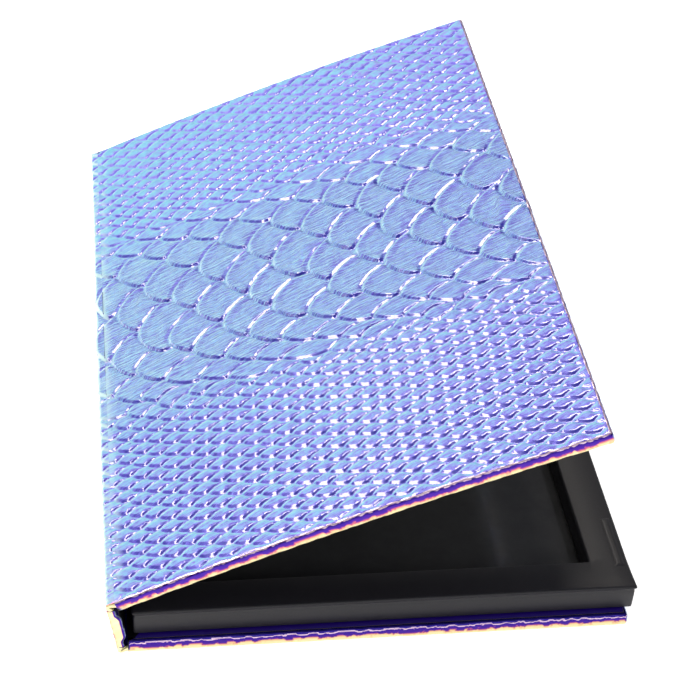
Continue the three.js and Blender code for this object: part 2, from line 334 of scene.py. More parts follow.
def relief_field():
    """The height of the emboss on a fine grid of places."""
    across = np.arange(FIELD_LOW[0], FIELD_HIGH[0], CELL)
    along = np.arange(FIELD_LOW[1], FIELD_HIGH[1], CELL)
    field = np.zeros((len(across), len(along)))
    for u, v, wide, tall in scales:
        i = slice(max(int((u - 1.5 * wide - FIELD_LOW[0]) / CELL), 0), int((u + 1.9 * wide - FIELD_LOW[0]) / CELL))
        j = slice(max(int((v - 1.6 * tall - FIELD_LOW[1]) / CELL), 0), int((v + 1.6 * tall - FIELD_LOW[1]) / CELL))
        x = ((across[i] - u) / wide)[:, None]
        y = ((along[j] - v) / tall)[None, :]
        ax, ay = np.maximum(-x, 1e-4), np.abs(y) + 1e-4
        reach = (ax ** OUTLINE_POWER + ay ** OUTLINE_POWER) ** (1 / OUTLINE_POWER)
        steep = np.hypot(ax ** (OUTLINE_POWER - 1) / wide, ay ** (OUTLINE_POWER - 1) / tall)
        inside = (1 - reach) * reach ** (OUTLINE_POWER - 1) / steep
        large = band(v, STEP_BAND)
        high, bead, rim, near_rim, fall, shoulder, near_shoulder = (a + (b - a) * large for a, b in (
            SCALE_HEIGHT, BEAD_HEIGHT, RIM_WIDTH, NEAR_RIM_WIDTH, BEAD_FALL, SHOULDER_WIDTH, NEAR_SHOULDER_WIDTH))
        near = smooth(-0.05, 0.3, -y)
        rim, shoulder = rim + (near_rim - rim) * near, shoulder + (near_shoulder - shoulder) * near
        rise = near * np.clip(inside / rim, 0, 1) + (1 - near) * smooth(0, rim, inside)
        plate = high * rise * (1 - ROOT_FALL * smooth(-0.7, 1.2, x))
        from_crest = np.where(inside < rim, (inside - rim) / (0.7 * rim), (inside - rim) / fall)
        plate += bead * np.exp(-from_crest ** 2) * (1 - smooth(-0.1, 0.5, x)) * smooth(0, 0.5 * rim, inside)
        plate += DOME_HEIGHT * (1 - large) * np.exp(-((x + 0.05) / 0.25) ** 2 - (y / 0.28) ** 2)
        plate *= 1 - FAR_FLATNESS * smooth(140 * MM, 185 * MM, v)
        plate = np.where(inside > 0, plate, field[i, j] * np.clip(-inside / shoulder, 0, 1))
        field[i, j] = plate
    return field


relief = relief_field()


def emboss(u, v):
    """The height of the emboss at places on the skin. The rows wander a little, as on real skin."""
    u2 = u + 1.1 * MM * np.sin(v / (11 * MM)) + 0.6 * MM * np.sin(u / (17 * MM) + 1)
    v2 = v + 1.2 * MM * np.sin(u / (23 * MM) + 0.7) + 0.3 * MM * np.sin(u / (7 * MM)) + 0.04 * (u - 60 * MM)
    a = np.clip((u2 - FIELD_LOW[0]) / CELL, 0, relief.shape[0] - 2)
    b = np.clip((v2 - FIELD_LOW[1]) / CELL, 0, relief.shape[1] - 2)
    i, j = a.astype(int), b.astype(int)
    a, b = a - i, b - j
    low = relief[i, j] * (1 - a) + relief[i + 1, j] * a
    high = relief[i, j + 1] * (1 - a) + relief[i + 1, j + 1] * a
    return low * (1 - b) + high * b


print("relief:", relief.shape, "highest", round(relief.max() / MM, 2), "mm")

# %% [markdown]
# A wrapped panel starts as a flat grid, which is the outer face. Its border is extruded round the edge, back under
# the board as a turned-in margin, and up round the board's pocket, so the skin is one closed sheet of leather. The
# emboss then moves each vertex along its own normal. The sides that the creases join stay square.

# %% A panel's skin
GRID_STEP = 0.6 * MM
FINE_STEP = 0.34 * MM
MOST_TRIANGLES = 190000
EDGE_ROUND_SHARE = 0.26
ROUND_STEPS = 4
LAST_ROUND = 2 * ROUND_STEPS + 3
EMBOSS_LEVEL = 0.36 * MM
PRESSED = 0.28
PRESSED_WIDTH = 1.6 * MM
CORNER_ROUND = 0.9 * MM
END_SWELL = 0.9 * MM


def edge_profile(thickness, margin_x, margin_y):
    """The rings round a panel: inset across, inset along, height, and the way that the leather faces there."""
    radius = thickness * EDGE_ROUND_SHARE
    rings = []
    for step in range(1, ROUND_STEPS + 1):
        angle = math.pi / 2 * step / ROUND_STEPS
        inset = radius * (1 - math.sin(angle))
        rings.append((inset, inset, thickness - radius * (1 - math.cos(angle)), math.sin(angle), math.cos(angle)))
    for share in (2 / 3, 1 / 3, 0):
        rings.append((0, 0, radius + (thickness - 2 * radius) * share, 1, 0))
    for step in range(1, ROUND_STEPS + 1):
        angle = math.pi / 2 * step / ROUND_STEPS
        inset = radius * (1 - math.cos(angle))
        rings.append((inset, inset, radius * (1 - math.sin(angle)), math.cos(angle), -math.sin(angle)))
    for share in (0.02, 0.2, 0.6, 1):
        rings.append((radius + (margin_x - radius) * share, radius + (margin_y - radius) * share, 0, 0, -1))
    rings.append((margin_x, margin_y, LEATHER, 0, 0))
    rings.append((LEATHER, LEATHER, LEATHER, 0, 0))
    rings.append((LEATHER, LEATHER, thickness - LEATHER, 0, 0))
    return rings


def edit(piece):
    """Opens a piece for editing with nothing selected."""
    bpy.ops.object.select_all(action="DESELECT")
    piece.select_set(True)
    bpy.context.view_layer.objects.active = piece
    bpy.ops.object.mode_set(mode="EDIT")
    bpy.ops.mesh.select_all(action="DESELECT")


def points_of(piece):
    """A piece's vertices as an array."""
    points = np.zeros(len(piece.data.vertices) * 3)
    piece.data.vertices.foreach_get("co", points)
    return points.reshape(-1, 3)


def set_points(piece, points):
    piece.data.vertices.foreach_set("co", points.ravel())
    piece.data.update()


def apply_modifier(piece, kind, **settings):
    modifier = piece.modifiers.new(kind.lower(), kind)
    for key, value in settings.items():
        setattr(modifier, key, value)
    bpy.context.view_layer.objects.active = piece
    bpy.ops.object.modifier_apply(modifier=modifier.name)


def panel_sheet(name, width, rings, step):
    """The flat outer face with its border extruded through every ring, and the pocket closed."""
    radius = rings[LAST_ROUND - 1][0]
    thickness = rings[0][2] + radius * (1 - math.cos(math.pi / 2 / ROUND_STEPS))
    size = np.array([width - 2 * radius, CASE_LENGTH - 2 * radius])
    count = [max(round(side / step), 2) for side in size]
    bpy.ops.object.select_all(action="DESELECT")
    bpy.ops.mesh.primitive_grid_add(x_subdivisions=count[0], y_subdivisions=count[1], size=1,
                                    location=(width / 2, 0, thickness))
    piece = bpy.context.object
    piece.name = name
    piece.scale = (*size, 1)
    bpy.ops.object.transform_apply(location=True, rotation=True, scale=True)
    edit(piece)
    bpy.ops.mesh.select_mode(type="EDGE")
    bpy.ops.mesh.select_non_manifold()
    height = thickness
    for inset_x, inset_y, z, *_ in rings:
        new = np.array([width - 2 * inset_x, CASE_LENGTH - 2 * inset_y])
        bpy.ops.mesh.extrude_region_move(TRANSFORM_OT_translate={"value": (0, 0, z - height)})
        bpy.ops.transform.resize(value=(*(new / size), 1), center_override=(width / 2, 0, z))
        size, height = new, z
    bpy.ops.mesh.edge_face_add()
    bpy.ops.object.mode_set(mode="OBJECT")
    first = (count[0] + 1) * (count[1] + 1)
    ring = np.zeros(len(piece.data.vertices), int)
    around = 2 * (count[0] + count[1])
    ring[first:] = 1 + (np.arange(len(ring) - first) // around)
    return piece, ring, thickness, radius


def pressed(distance):
    """How much of the emboss is left near a folded edge, where the skin was rubbed down over the board."""
    return PRESSED + (1 - PRESSED) * smooth(0, PRESSED_WIDTH, distance)


def leather_panel(name, width, thickness, margins, joined, unrolled, place, crown=0, flipped=False, creamy=(0.5, 2),
                  step=FINE_STEP, swell=0):
    """The skin round one board. Joined names the sides that a crease continues, unrolled gives the place on the
    skin of the panel's left side and the way that it runs on from there, and creamy says from where to where round
    the edge the foil is painted cream, which is partly its own colour and partly a painted reflection of the white
    table. The edge attribute runs from 0 to 1 round the lid and from 1 to 2 round the base."""
    rings = edge_profile(thickness, *margins)
    piece, ring, thickness, radius = panel_sheet(name, width, rings, step)
    points = points_of(piece)
    x, y, z = points.T.copy()
    table = np.array([(0, 0, thickness, 0, 1)] + rings)
    path = np.concatenate([[0], np.cumsum(np.hypot(np.diff(np.r_[radius, table[1:, 1]]), np.diff(table[:, 2])))])
    beyond = path[ring]
    out = ring > 0
    half = CASE_LENGTH / 2
    inset_x, inset_y = table[ring, 0], table[ring, 1]
    on_left = out & (np.abs(x - inset_x) < 1e-6)
    on_right = out & (np.abs(width - inset_x - x) < 1e-6)
    on_near = out & (np.abs(y + half - inset_y) < 1e-6)
    on_far = out & (np.abs(half - inset_y - y) < 1e-6)
    u = np.where(on_left, radius - beyond, np.where(on_right, width - radius + beyond, x))
    v = np.where(on_near, radius - beyond, np.where(on_far, CASE_LENGTH - radius + beyond, y + half))
    start, way = unrolled
    u = start + way * u

    facing_out, facing_up = table[ring, 3], table[ring, 4]
    normal = np.stack([facing_out * (on_right.astype(float) - on_left), facing_out * (on_far.astype(float) - on_near),
                       np.where(out, facing_up, 1.0)], 1)
    length = np.linalg.norm(normal, axis=1, keepdims=True)
    normal = np.where(length > 0, normal / np.maximum(length, 1e-9), 0)
    shown = ring <= LAST_ROUND + 4
    to_free_edge = np.minimum(half - radius - np.abs(y), np.inf if "right" in joined else width - radius - x)
    strength = np.where(out & ~(on_left | on_right) | out & ("right" not in joined), PRESSED,
                        pressed(np.maximum(to_free_edge, 0)))
    strength = np.where(ring > ROUND_STEPS, PRESSED, strength)
    height = emboss(u, v)
    shift = (height - EMBOSS_LEVEL) * strength * shown
    if flipped:
        shift = (height - relief.max()) * strength * shown * 0.5

    for side, joined_here, edge in ((on_left, "left" in joined, 0), (on_right, "right" in joined, width)):
        if joined_here:
            wall = side & (ring < LAST_ROUND)
            x = np.where(wall, edge, x)
            z = np.where(side & (ring == 1), thickness, z)
            z = np.where(side & (ring == LAST_ROUND - 1), 0, z)
            inward = side & ~((ring == 1) | (ring >= LAST_ROUND - 1))
            shift = np.where(inward, 0, shift)
            normal[side & (ring <= 1)] = (0, 0, 1)
            normal[side & (ring == LAST_ROUND - 1)] = (0, 0, -1)
    if "right" not in joined:
        for end in (-1, 1):
            bend = np.maximum(CORNER_ROUND - inset_x, 0)
            corner_x, corner_y = width - inset_x - bend, end * (half - inset_y - bend)
            away = np.stack([x - corner_x, (y - corner_y) * end], 1)
            in_corner = out & (bend > 0) & (away[:, 0] > 0) & (away[:, 1] > 0)
            far = np.maximum(np.linalg.norm(away, axis=1), 1e-9)
            x = np.where(in_corner, corner_x + bend * away[:, 0] / far, x)
            y = np.where(in_corner, corner_y + end * bend * away[:, 1] / far, y)

    x, y, z = (np.stack([x, y, z], 1) + normal * shift[:, None]).T
    share = np.clip(x / width, 0, 1)
    z = z + crown * 4 * share * (1 - share)
    swollen = swell * (1 - smooth(0.9 * MM, 2.2 * MM, half - np.abs(y)))
    swollen = swollen * smooth(1.6 * MM, 3.4 * MM, np.minimum(x, width - x))
    z = z - np.where(z < thickness / 2, swollen, 0)
    if flipped:
        z = thickness - z
    set_points(piece, np.stack([x, y, z], 1))
    if flipped:
        piece.data.flip_normals()
    piece.data.transform(place)
    # Round a free edge the tone is painted by ring: a pink-white painted glint near the top, then purple that is
    # partly painted reflection of the darker room, then cream that is partly the foil's colour and partly painted
    # reflection of the white table. Round the base the order runs the other way and ends in dark navy, painted shade
    # from the tray.
    free_side = on_near | on_far | (on_right & ("right" not in joined))
    way_round = np.where(ring <= LAST_ROUND, ring / LAST_ROUND, 0) * free_side
    cream = 0.5 + (way_round - creamy[0]) * 0.5 / (1 - creamy[0])
    toned = np.where(way_round < creamy[0], 0.5 * way_round / creamy[0], np.where(way_round > creamy[1], 0.3, cream))
    if flipped:
        toned = np.where(way_round > 0, 1 + way_round, 0)
    # Margin is 2 on the sides that face into a crease; the leather shader paints them near black as painted shade.
    shaded_crease_side = on_left | (on_right & ("right" in joined))
    margin = np.where(shaded_crease_side & (ring > ROUND_STEPS), 2.0, ring > LAST_ROUND)
    skin_attributes(piece, u, v, np.where(shown, height, 0), np.clip(toned, 0, 2), margin)
    bpy.ops.object.select_all(action="DESELECT")
    piece.select_set(True)
    triangles = sum(len(polygon.vertices) - 2 for polygon in piece.data.polygons)
    if triangles > MOST_TRIANGLES:
        apply_modifier(piece, "DECIMATE", ratio=MOST_TRIANGLES / triangles)
    bpy.ops.object.shade_smooth_by_angle(angle=math.radians(60))
    print(name, triangles, "triangles, then", len(piece.data.polygons), "faces")
    return piece


def skin_attributes(piece, u, v, height, edge, margin):
    """Keeps each vertex's place on the skin in millimetres, its relief, and how far round an edge or on a turned-in
    margin it lies."""
    skin = piece.data.attributes.new("skin", "FLOAT_VECTOR", "POINT")
    skin.data.foreach_set("vector", np.stack([u / MM, v / MM, height / MM], 1).astype(np.float32).ravel())
    for name, values in (("edge", edge), ("margin", margin)):
        tone = piece.data.attributes.new(name, "FLOAT", "POINT")
        tone.data.foreach_set("value", np.asarray(values, np.float32))


# %% Lid, spine and base skins
FOLD_TURN_UP = math.pi / 2 - LID_LIFT + SPINE_LEAN
FOLD_TURN_LOW = math.pi / 2 - SPINE_LEAN
HIGH_FOLD = TO_PANEL + FOLD_TURN_UP * CREASE_RADIUS + TO_SPINE
LOW_FOLD = TO_PANEL + FOLD_TURN_LOW * CREASE_RADIUS + TO_SPINE
LID_MARGIN = 10 * MM
SPINE_MARGIN = 1.5 * MM
BASE_MARGINS = (7.8 * MM, 11.2 * MM)

flat_lid = lid_place @ Matrix.Translation((lid_low.x, 0, CREASE_RADIUS - LID_THICKNESS))
flat_spine = (spine_place @ Matrix.Translation((spine_high.x, 0, TO_SPINE)) @ Matrix.Rotation(-math.pi / 2, 4, "Y"))
flat_base = Matrix.Translation((base_low.x, 0, 0))

lid_leather = leather_panel("lid_leather", PANEL_WIDTH, LID_THICKNESS, (LID_MARGIN, LID_MARGIN), ("left",),
                            (0, 1), flat_lid, crown=LID_CROWN)
spine_leather = leather_panel("spine_leather", SPINE_WIDTH, SPINE_THICKNESS, (SPINE_MARGIN, LID_MARGIN),
                              ("left", "right"), (-HIGH_FOLD - SPINE_WIDTH, 1), flat_spine, creamy=(0.02, 0.57),
                              swell=END_SWELL)
base_leather = leather_panel("base_leather", PANEL_WIDTH, BASE_THICKNESS, BASE_MARGINS, ("left",),
                             (-HIGH_FOLD - SPINE_WIDTH - LOW_FOLD, -1), flat_base, flipped=True, step=GRID_STEP)
for piece, body, node in ((lid_leather, "lid", "lid_cover"), (spine_leather, "spine", "spine_cover"),
                          (base_leather, "base", "base_cover")):
    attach(piece, body)
    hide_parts(node)

# %% [markdown]
# At each crease the skin bends round a line. The strip is a flat grid laid along two tabs and the arc between them,
# and its ends are rolled in, because the skin is turned in there as well. Solidify gives it the leather's thickness,
# with the black lining inside. The real crease is where the case folds.

# %% The two creases
FOLD_STEP = 0.3 * MM
ROLL_ROWS = 10
ROLL_TURN = math.radians(165)
ROLL_RADIUS, BOARD_ROLL_RADIUS = 0.42 * MM, 0.98 * MM


def leather_fold(name, pivot, from_angle, turn, first_tab, last_tab, start, resting=False):
    """A strip that comes straight in, turns clockwise round the pivot and runs straight out again. A resting one
    starts on the table, so its emboss goes inwards there."""
    arc = turn * CREASE_RADIUS
    total = first_tab + arc + last_tab
    count = (round(total / FOLD_STEP), round(CASE_LENGTH / FINE_STEP))
    bpy.ops.object.select_all(action="DESELECT")
    bpy.ops.mesh.primitive_grid_add(x_subdivisions=count[0], y_subdivisions=count[1], size=1)
    piece = bpy.context.object
    piece.name = name
    piece.scale = (total, CASE_LENGTH, 1)
    bpy.ops.object.transform_apply(location=True, rotation=True, scale=True)
    points = points_of(piece)
    s = points[:, 0] + total / 2
    row = np.round((points[:, 1] / CASE_LENGTH + 0.5) * count[1])
    from_end = np.minimum(row, count[1] - row)
    rolled = ROLL_TURN * np.clip(1 - from_end / ROLL_ROWS, 0, 1)
    roll = np.interp(s, (0, first_tab, first_tab + arc, total),
                     (BOARD_ROLL_RADIUS, ROLL_RADIUS, ROLL_RADIUS, BOARD_ROLL_RADIUS))
    straight = CASE_LENGTH / 2 - roll
    flat_part = straight * (1 - 2 * (from_end - ROLL_ROWS) / (count[1] - 2 * ROLL_ROWS))
    y = np.where(rolled > 0, straight + roll * np.sin(rolled), flat_part) * np.sign(row - count[1] / 2 + 1e-6)
    angle = from_angle - np.clip((s - first_tab) / CREASE_RADIUS, 0, turn)
    before = np.minimum(s - first_tab, 0)
    after = np.maximum(s - first_tab - arc, 0)
    u = start + s
    v = y + CASE_LENGTH / 2
    height = emboss(u, v)
    raised = (height - EMBOSS_LEVEL) * pressed(CASE_LENGTH / 2 - np.abs(y))
    if resting:
        sunk = (height - relief.max()) * 0.5
        raised = sunk + (raised - sunk) * np.clip((s - first_tab) / arc, 0, 1)
    radius = CREASE_RADIUS + raised
    radius -= roll * (1 - np.cos(rolled))
    x = pivot.x + radius * np.cos(angle) + (before + after) * np.sin(angle)
    z = pivot.z + radius * np.sin(angle) - (before + after) * np.cos(angle)
    set_points(piece, np.stack([x, y, z], 1))
    # The rolled ends take the pink and cream of the edge ramp, which is partly the foil's colour and partly painted
    # reflection of the white table.
    end = np.where(rolled > 0, 0.52 + 0.2 * smooth(0, 1.2, rolled), 0)
    skin_attributes(piece, u, v, height, end, np.zeros(len(s)))
    apply_modifier(piece, "SOLIDIFY", thickness=LEATHER * 0.7, offset=-1, material_offset=1)
    bpy.ops.object.shade_smooth_by_angle(angle=math.radians(60))
    print(name, len(piece.data.polygons), "faces")
    return piece


out_angle = math.pi + SPINE_LEAN
upper_fold = leather_fold("upper_fold", high_pivot, out_angle, FOLD_TURN_UP, TO_SPINE, TO_PANEL, -HIGH_FOLD)
lower_fold = leather_fold("lower_fold", low_pivot, math.pi * 1.5, FOLD_TURN_LOW, TO_PANEL, TO_SPINE,
                          -HIGH_FOLD - SPINE_WIDTH - LOW_FOLD, resting=True)
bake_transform(upper_fold)
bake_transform(lower_fold)
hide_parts("upper_crease")
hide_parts("lower_crease")

# %% [markdown]
# The skin is split leather under a pearl foil. A pearl foil changes colour with the way it faces: sky blue where it
# turns to the spine and away, blue to violet where it lies flat. The colour follows the surface's own normal, which
# keeps it on the palette from every side. Light is painted into it as well: slopes that face away go indigo as
# painted shade, the turn to the spine is painted near white as a highlight, and round the edges the purple band, a
# pink-white painted glint and the cream underneath are partly the foil's colour and partly painted reflection.

# %% Pearl-foiled leather
def pearl_leather():
    """Foil under a clear gloss coat, with fine lines pressed into the scales from root to tip."""
    material, tree, shader = new_material("pearl_foil_leather")
    normal = add(tree, "ShaderNodeTexCoord").outputs["Normal"]
    skin = add(tree, "ShaderNodeAttribute", {"attribute_name": "skin"}).outputs["Vector"]
    place = add(tree, "ShaderNodeSeparateXYZ", i0=skin)
    edge = add(tree, "ShaderNodeAttribute", {"attribute_name": "edge"}).outputs["Fac"]
    margin = add(tree, "ShaderNodeAttribute", {"attribute_name": "margin"}).outputs["Fac"]

    turned_skin = add(tree, "ShaderNodeMapping", {"vector_type": "POINT"}, Vector=skin,
                      Rotation=(0.0, 0.0, math.radians(-12)))
    lines = add(tree, "ShaderNodeMapping", {"vector_type": "POINT"}, Vector=turned_skin.outputs[0],
                Scale=(0.16, 1.25, 0.0))
    grain = add(tree, "ShaderNodeTexNoise", Vector=lines.outputs[0], Scale=1.0, Detail=4.0, Roughness=0.62,
                Distortion=0.5)
    blotch = add(tree, "ShaderNodeTexNoise", Vector=skin, Scale=0.5, Detail=3.0, Roughness=0.65)
    breadth = ramp(tree, add(tree, "ShaderNodeMapRange", i0=place.outputs["Y"], i1=0.0, i2=200.0).outputs[0],
                 [(0.26, "#8a8a8a"), (0.38, "#ffffff"), (0.64, "#ffffff"), (0.76, "#303030")])
    depth = add(tree, "ShaderNodeMath", {"operation": "MULTIPLY"}, i0=grain.outputs["Fac"], i1=breadth)

    bump = add(tree, "ShaderNodeBump", Strength=1.0, Distance=0.36 * MM, Height=depth.outputs[0])
    pressed_in = add(tree, "ShaderNodeVectorTransform", {"vector_type": "NORMAL", "convert_from": "WORLD",
                                                         "convert_to": "OBJECT"}, Vector=bump.outputs[0])
    # The colour is read from the bumped normal, so fine lines and slopes that face away from the softboxes at the back
    # left go dark indigo: partly the foil's turn and partly painted shade.
    facing = add(tree, "ShaderNodeVectorMath", {"operation": "DOT_PRODUCT"}, i0=pressed_in.outputs[0],
                 i1=(-0.45, 0.89, 0.0))
    flat_facing = add(tree, "ShaderNodeMath", {"operation": "SUBTRACT"}, i0=facing.outputs["Value"], i1=0.166)
    gain = add(tree, "ShaderNodeMapRange", i0=place.outputs["Y"], i1=120.0, i2=190.0, i3=2.5, i4=1.9)
    toned = add(tree, "ShaderNodeMath", {"operation": "MULTIPLY_ADD"}, i0=flat_facing.outputs[0],
                i1=gain.outputs[0], i2=0.19).outputs[0]
    across = add(tree, "ShaderNodeMapRange", i0=place.outputs["X"], i1=0.0, i2=119.6, i3=0.06, i4=-0.06)
    along = add(tree, "ShaderNodeMapRange", i0=place.outputs["Y"], i1=0.0, i2=200.0, i3=-0.10, i4=0.11)
    streak = add(tree, "ShaderNodeMapRange", i0=grain.outputs["Fac"], i1=0.3, i2=0.7, i3=-0.05, i4=0.05)
    patch = add(tree, "ShaderNodeMapRange", i0=blotch.outputs["Fac"], i1=0.35, i2=0.65, i3=-0.14, i4=0.14)
    streak = add(tree, "ShaderNodeMath", {"operation": "MULTIPLY"}, i0=streak.outputs[0], i1=breadth)
    down_spine = add(tree, "ShaderNodeMapRange", i0=place.outputs["X"], i1=-2.0, i2=-5.0, i3=0.0, i4=-0.52)
    for part in (across, along, streak, patch, down_spine):
        toned = add(tree, "ShaderNodeMath", {"operation": "ADD"}, i0=toned, i1=part.outputs[0]).outputs[0]
    share = add(tree, "ShaderNodeMapRange", i0=toned, i1=-0.5, i2=1.0, i3=0.0, i4=1.0)
    foil = ramp(tree, share.outputs[0], [(0.02, "#2220a0"), (0.15, "#3c36bc"), (0.28, "#6c5ee2"), (0.38, "#8c84f0"),
                                         (0.45, "#8ea6f2"), (0.51, "#80bcf4"), (0.62, "#80d2f8"), (0.80, "#a0e8fb"),
                                         (1.0, "#c8f8fc")])
    sideways = add(tree, "ShaderNodeSeparateXYZ", i0=normal)
    # Where the skin turns to the spine the foil is painted near white: a painted highlight of the bright light from
    # the left, over the foil's sky blue.
    spine_side_highlight = add(tree, "ShaderNodeMapRange", i0=sideways.outputs["X"], i1=-0.32, i2=-0.58)
    off_lid = add(tree, "ShaderNodeMapRange", i0=place.outputs["X"], i1=3.0, i2=0.0)
    off_spine = add(tree, "ShaderNodeMapRange", i0=place.outputs["X"], i1=-5.0, i2=-2.0)
    for part in (off_lid, off_spine):
        spine_side_highlight = add(tree, "ShaderNodeMath", {"operation": "MULTIPLY"}, i0=spine_side_highlight.outputs[0], i1=part.outputs[0])
    foil = add(tree, "ShaderNodeMix", {"data_type": "RGBA"}, i0=spine_side_highlight.outputs[0], i6=foil, i7=srgb("#d6fbff"))
    kinks = add(tree, "ShaderNodeMapping", {"vector_type": "POINT"}, Vector=skin, Scale=(0.45, 0.45, 0.0))
    kinks = add(tree, "ShaderNodeTexNoise", Vector=kinks.outputs[0], Scale=1.0, Detail=2.0)
    kinked = add(tree, "ShaderNodeMapRange", i0=kinks.outputs["Fac"], i1=0.43, i2=0.57, i3=-0.045, i4=0.045)
    crinkled = add(tree, "ShaderNodeMath", {"operation": "ADD"}, i0=edge, i1=kinked.outputs[0])
    halved = add(tree, "ShaderNodeMath", {"operation": "MULTIPLY"}, i0=crinkled.outputs[0], i1=0.5)
    # Round the edges this ramp paints light: the pink-white stops are a painted glint of the overhead softbox along
    # the top of the rounding, the purple is partly painted reflection of the darker room in front, the cream is partly
    # painted reflection of the white table, and the base's dark navy top is painted shade from the tray. The kinks
    # noise makes these lines crinkle.
    lid_stops = [(0.03, "#4a2cbc"), (0.06, "#fdeaf6"), (0.19, "#f8d4ec"), (0.23, "#2e0c94"), (0.46, "#4a14a4"),
                 (0.53, "#d0607e"), (0.59, "#f6c496"), (0.70, "#fbeeb4"), (0.9, "#fdf6d4")]
    base_stops = [(1.1, "#fdf6d4"), (1.38, "#fbeeb4"), (1.45, "#f6c496"), (1.48, "#c85888"), (1.52, "#4a14a4"),
                  (1.66, "#36109a"), (1.69, "#f4c8e6"), (1.73, "#f8dcf0"), (1.76, "#2e1294"), (1.95, "#1c1480")]
    edge_tone_and_glint = ramp(tree, halved.outputs[0], [(place / 2, code) for place, code in lid_stops + base_stops])
    to_right = add(tree, "ShaderNodeMapRange", i0=sideways.outputs["X"], i1=0.5, i2=0.9)
    fore_edge = add(tree, "ShaderNodeMix", {"data_type": "RGBA"}, i0=to_right.outputs[0], i6=edge_tone_and_glint,
                    i7=srgb("#cfe6fa"))
    on_edge = add(tree, "ShaderNodeMapRange", i0=edge, i1=0.02, i2=0.05)
    foil = add(tree, "ShaderNodeMix", {"data_type": "RGBA"}, i0=on_edge.outputs[0], i6=foil.outputs[2],
               i7=fore_edge.outputs[2])
    # On the turned-in margins the foil is dark indigo where they face up or sideways, partly its own deep colour and
    # partly painted shade of the tray and the creases, and pale blue where they face down.
    looks_down = add(tree, "ShaderNodeMapRange", i0=sideways.outputs["Z"], i1=0.0, i2=-0.3)
    turned_in_shade = add(tree, "ShaderNodeMix", {"data_type": "RGBA"}, i0=looks_down.outputs[0], i6=srgb("#34149c"),
                    i7=srgb("#93b2d2"))
    deep = add(tree, "ShaderNodeMapRange", i0=margin, i1=0.0, i2=1.0, i3=0.0, i4=0.88)
    foil = add(tree, "ShaderNodeMix", {"data_type": "RGBA"}, i0=deep.outputs[0], i6=foil.outputs[2],
               i7=turned_in_shade.outputs[2])
    # The sides that face into a crease are painted near black, as painted shade of the narrow gap, and their coat is
    # dulled.
    crease_shade = add(tree, "ShaderNodeMapRange", i0=margin, i1=1.0, i2=1.4)
    foil = add(tree, "ShaderNodeMix", {"data_type": "RGBA"}, i0=crease_shade.outputs[0], i6=foil.outputs[2],
               i7=srgb("#141216"))
    tree.links.new(foil.outputs[2], shader.inputs["Base Color"])

    shallow = add(tree, "ShaderNodeBump", Strength=1.0, Distance=0.15 * MM, Height=depth.outputs[0])
    tree.links.new(shallow.outputs[0], shader.inputs["Normal"])
    shader.inputs["Roughness"].default_value = 0.32
    bare = add(tree, "ShaderNodeMapRange", i0=on_edge.outputs[0], i3=0.15, i4=0.9)
    rubbed = add(tree, "ShaderNodeMath", {"operation": "MAXIMUM"}, i0=on_edge.outputs[0], i1=crease_shade.outputs[0])
    worn = add(tree, "ShaderNodeMapRange", i0=rubbed.outputs[0], i3=1.0, i4=0.2)
    tree.links.new(bare.outputs[0], shader.inputs["Metallic"])
    tree.links.new(worn.outputs[0], shader.inputs["Coat Weight"])
    shader.inputs["Coat Roughness"].default_value = 0.06
    shader.inputs["Coat IOR"].default_value = 1.65
    return material


def dress(piece, material):
    piece.data.materials.clear()
    piece.data.materials.append(material)


leather = pearl_leather()
for piece in (lid_leather, spine_leather, base_leather, upper_fold, lower_fold):
    dress(piece, leather)
print("leather pieces dressed")

# %% [markdown]
# The tray is three frames of greyboard wrapped in one sheet of black covering paper. The paper is folded down both
# walls and turned in underneath, and over each magnet it stands up in a low patch. A box is inset and hollowed to
# make the folds. Bevels soften them, cuts let the paper waver and swell a little under the top fold, each corner
# is pulled out where the paper is doubled, and Solidify gives it its thickness.

# %% Tray paper
PAPER = 0.3 * MM
RIM_ACROSS = 9.4 * MM
PAPER_TURN_IN = 4 * MM
FOLD_SOFTNESS = 0.55 * MM
WAVER = 0.1 * MM
SWELL = 0.24 * MM
FOLD_CUTS = [share * MM for share in (0.75, 1.0, 1.3, 1.7, 2.4)]
DOG_EARS = ((1, -1, 0.34 * MM), (1, 1, 0.25 * MM), (-1, -1, 0.15 * MM), (-1, 1, 0.2 * MM))


def faces_where(piece, test):
    """Selects the faces whose middle and normal pass a test."""
    bpy.ops.object.mode_set(mode="OBJECT")
    for polygon in piece.data.polygons:
        polygon.select = test(polygon.center, polygon.normal)
    bpy.ops.object.mode_set(mode="EDIT")


def box_piece(name, low, high):
    bpy.ops.object.select_all(action="DESELECT")
    bpy.ops.mesh.primitive_cube_add(size=1, location=(low + high) / 2)
    piece = bpy.context.object
    piece.name = name
    piece.scale = high - low
    bpy.ops.object.transform_apply(location=True, rotation=True, scale=True)
    return piece


tray_low, tray_high = (Vector(corner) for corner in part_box("tray_wrap"))
pad_top = tray_high.z
tray_high.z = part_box("tray_frame_3")[1].z + PAPER + 0.1 * MM
tray_middle = (tray_low + tray_high) / 2
tray_paper = box_piece("tray_paper", tray_low, tray_high)
edit(tray_paper)
bpy.ops.mesh.select_mode(type="FACE")
faces_where(tray_paper, lambda centre, normal: normal.z > 0.9)
bpy.ops.mesh.inset(thickness=RIM_ACROSS)
bpy.ops.mesh.extrude_region_move(TRANSFORM_OT_translate={"value": (0, 0, tray_low.z - tray_high.z)})
bpy.ops.mesh.delete(type="FACE")
faces_where(tray_paper, lambda centre, normal: normal.z < -0.9)
bpy.ops.mesh.delete(type="FACE")
bpy.ops.object.mode_set(mode="OBJECT")
tray_size = tray_high - tray_low
well_size = tray_size - Vector((2 * RIM_ACROSS, 2 * RIM_ACROSS, 0))
